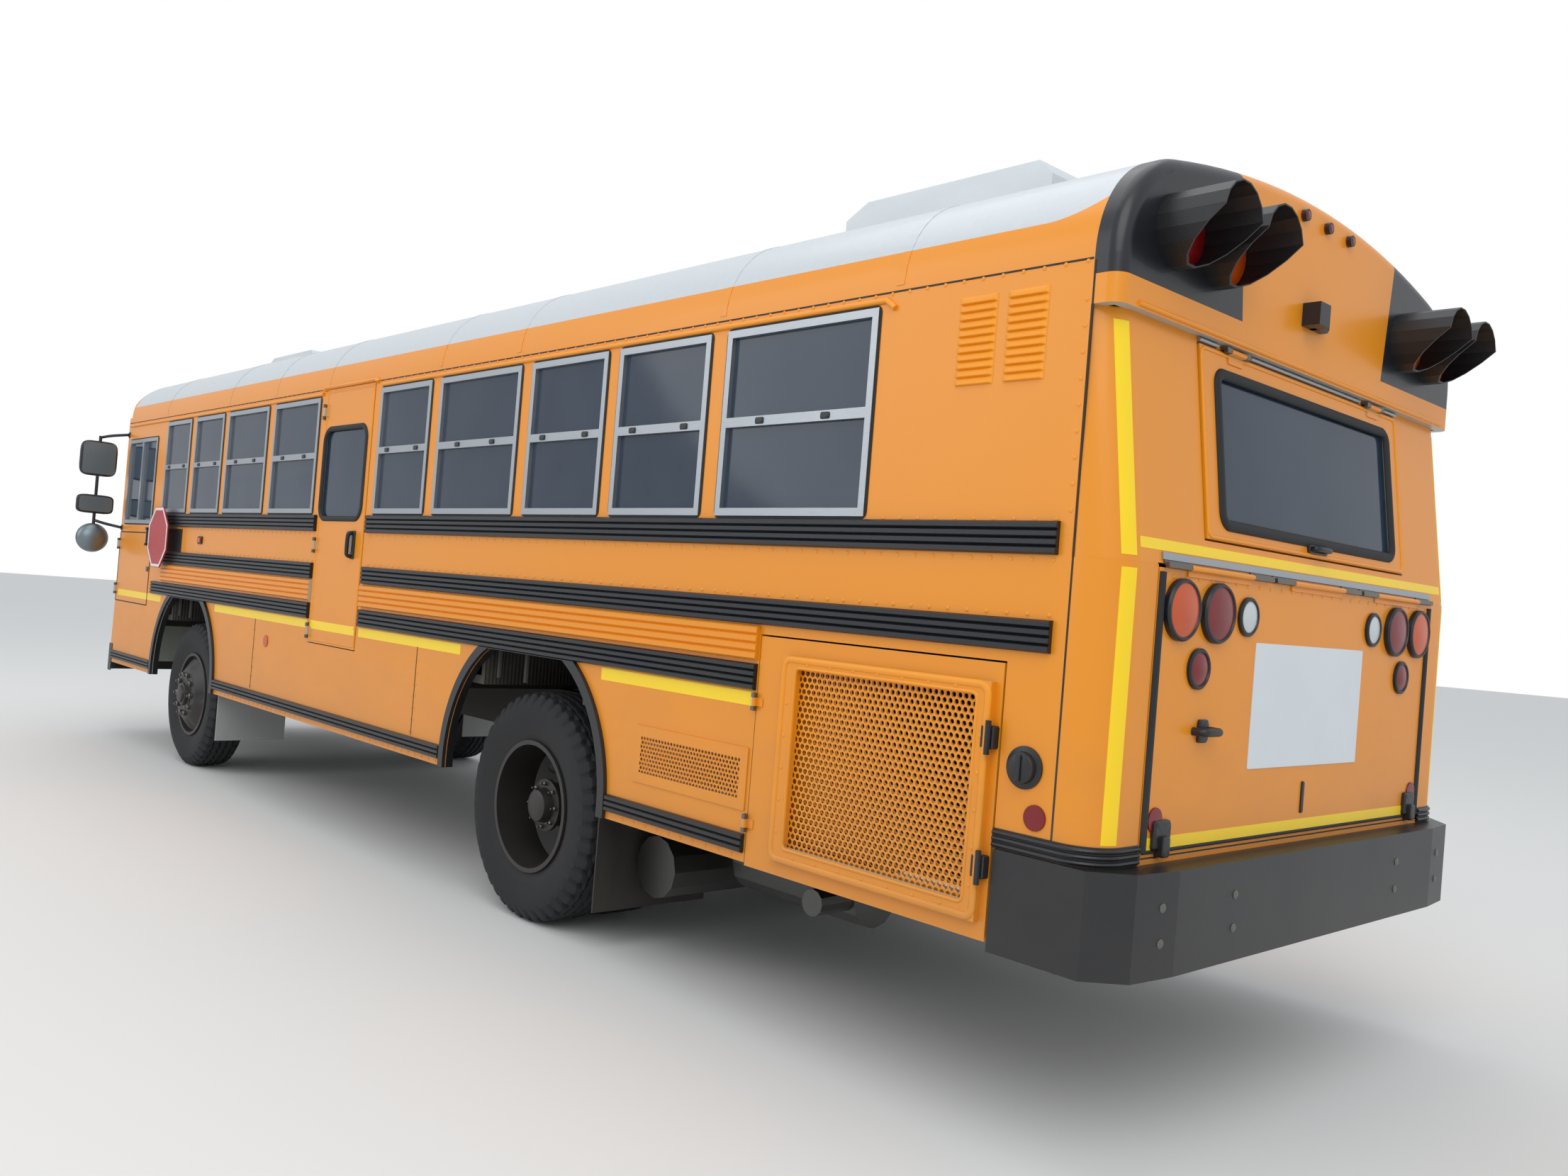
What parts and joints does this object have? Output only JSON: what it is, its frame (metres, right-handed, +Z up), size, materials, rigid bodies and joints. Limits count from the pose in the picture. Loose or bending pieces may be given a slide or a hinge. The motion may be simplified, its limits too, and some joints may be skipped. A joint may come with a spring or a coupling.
{
  "type": "school bus",
  "caption": "Flat-front school bus with its engine in the tail; wheels roll and steer, doors, lids, rear window hatch and stop arm swing.",
  "frame": {"origin": "on the ground, at the middle of the bus's length and width", "axes": "+X towards the front of the bus, +Y towards its left, +Z up"},
  "size_m": [9.909, 3.08, 3.195],
  "materials": {
    "body_yellow": "gloss paint",
    "roof_white": "gloss paint",
    "black_paint": "satin paint",
    "frame_black": "dull paint",
    "trim_rubber": "dull",
    "tyre": "dull",
    "rim": "satin paint",
    "tinted_glass": "clear",
    "clear_glass": "clear",
    "bright_trim": "satin",
    "lamp_red": "gloss",
    "lamp_amber": "gloss",
    "hood_black": "dull",
    "sign_red": "satin paint",
    "floor_grey": "dull",
    "seat_green": "vinyl",
    "dash_grey": "dull",
    "engine_iron": "rough",
    "radiator_metal": "dull",
    "exhaust_steel": "dull"
  },
  "bodies": {
    "body": {"arch_trims": "trim_rubber", "chassis_frame": "frame_black", "dash": "dash_grey", "engine_block": "engine_iron", "floor": "floor_grey", "front_axle": "frame_black", "front_bumper": "black_paint", "front_cap": "body_yellow", "front_panel": "body_yellow", "hinges": "bright_trim", "marker_lamps": "lamp_amber", "mirrors": "hood_black", "mud_flaps": "trim_rubber", "radiator": "radiator_metal", "rear_axle": "frame_black", "rear_bumper": "black_paint", "rear_cap": "body_yellow", "rear_wall": "body_yellow", "roof": "roof_white", "roof_units": "roof_white", "rub_rails": "black_paint", "seats": "seat_green", "side_panel_left": "body_yellow", "side_panel_right": "body_yellow", "sign_bracket": "frame_black", "tanks": "exhaust_steel", "vent_grille": "body_yellow", "warning_lamps": "hood_black", "window_band_left": "body_yellow", "window_band_right": "body_yellow", "window_frames": "bright_trim", "window_glass": "tinted_glass", "windshield": "clear_glass"},
    "knuckle_left": {"knuckle_left": "frame_black"},
    "knuckle_right": {"knuckle_right": "frame_black"},
    "wheel_front_left": {"rim_front_left": "rim", "tyre_front_left": "tyre"},
    "wheel_front_right": {"rim_front_right": "rim", "tyre_front_right": "tyre"},
    "wheel_rear_left": {"rim_rear_left": "rim", "tyre_rear_left": "tyre"},
    "wheel_rear_right": {"rim_rear_right": "rim", "tyre_rear_right": "tyre"},
    "side_exit": {"emergency_door": "body_yellow", "emergency_glass": "tinted_glass"},
    "radiator_lid": {"radiator_door": "body_yellow"},
    "driver_lid": {"driver_hatch": "body_yellow"},
    "entrance_front_leaf": {"entrance_front": "body_yellow", "entrance_front_glass": "clear_glass"},
    "entrance_rear_leaf": {"entrance_rear": "body_yellow", "entrance_rear_glass": "clear_glass"},
    "rear_window_hatch": {"rear_hatch": "body_yellow", "rear_hatch_glass": "tinted_glass"},
    "engine_lid": {"engine_door": "body_yellow", "tail_lamps": "lamp_red"},
    "stop_arm": {"stop_sign": "sign_red"}
  },
  "joints": [
    {"name": "steer_left", "type": "hinge", "parent": "body", "child": "knuckle_left", "pos_m": [2.87554, 0.885, 0.515], "axis": [0, 0, 1], "range_deg": [-35, 35]},
    {"name": "steer_right", "type": "hinge", "parent": "body", "child": "knuckle_right", "pos_m": [2.87554, -0.885, 0.515], "axis": [0, 0, 1], "range_deg": [-35, 35]},
    {"name": "roll_front_left", "type": "hinge", "parent": "knuckle_left", "child": "wheel_front_left", "pos_m": [2.87554, 1.016, 0.515], "axis": [0, 1, 0], "continuous": true},
    {"name": "roll_front_right", "type": "hinge", "parent": "knuckle_right", "child": "wheel_front_right", "pos_m": [2.87554, -1.016, 0.515], "axis": [0, 1, 0], "continuous": true},
    {"name": "roll_rear_left", "type": "hinge", "parent": "body", "child": "wheel_rear_left", "pos_m": [-1.80446, 1.025, 0.515], "axis": [0, 1, 0], "continuous": true},
    {"name": "roll_rear_right", "type": "hinge", "parent": "body", "child": "wheel_rear_right", "pos_m": [-1.80446, -1.025, 0.515], "axis": [0, 1, 0], "continuous": true},
    {"name": "side_exit_hinge", "type": "hinge", "parent": "body", "child": "side_exit", "pos_m": [0.63854, 1.2335, 1.64], "axis": [0, 0, -1], "range_deg": [0, 100]},
    {"name": "radiator_hinge", "type": "hinge", "parent": "body", "child": "radiator_lid", "pos_m": [-3.37746, 1.2335, 0.95], "axis": [0, 0, -1], "range_deg": [0, 100]},
    {"name": "driver_lid_hinge", "type": "hinge", "parent": "body", "child": "driver_lid", "pos_m": [4.66854, 1.2325, 1.385], "axis": [0, 0, -1], "range_deg": [0, 90]},
    {"name": "entrance_front_hinge", "type": "hinge", "parent": "body", "child": "entrance_front_leaf", "pos_m": [4.61954, -1.2315, 1.375], "axis": [0, 0, 1], "range_deg": [0, 88]},
    {"name": "entrance_rear_hinge", "type": "hinge", "parent": "body", "child": "entrance_rear_leaf", "pos_m": [3.83154, -1.2315, 1.375], "axis": [0, 0, -1], "range_deg": [0, 88]},
    {"name": "stop_arm_hinge", "type": "hinge", "parent": "body", "child": "stop_arm", "pos_m": [3.70054, 1.286, 1.636], "axis": [0, 0, -1], "range_deg": [0, 90]},
    {"name": "engine_lid_hinge", "type": "hinge", "parent": "body", "child": "engine_lid", "pos_m": [-4.81535, 0, 1.71956], "axis": [0, 1, 0], "range_deg": [0, 90]},
    {"name": "rear_window_hinge", "type": "hinge", "parent": "body", "child": "rear_window_hatch", "pos_m": [-4.73342, 0, 2.4178], "axis": [0, 1, 0], "range_deg": [0, 70]}
  ],
  "couplings": [
    {"joint": "steer_right", "follows": "steer_left", "ratio": 1},
    {"joint": "entrance_rear_hinge", "follows": "entrance_front_hinge", "ratio": 1}
  ]
}
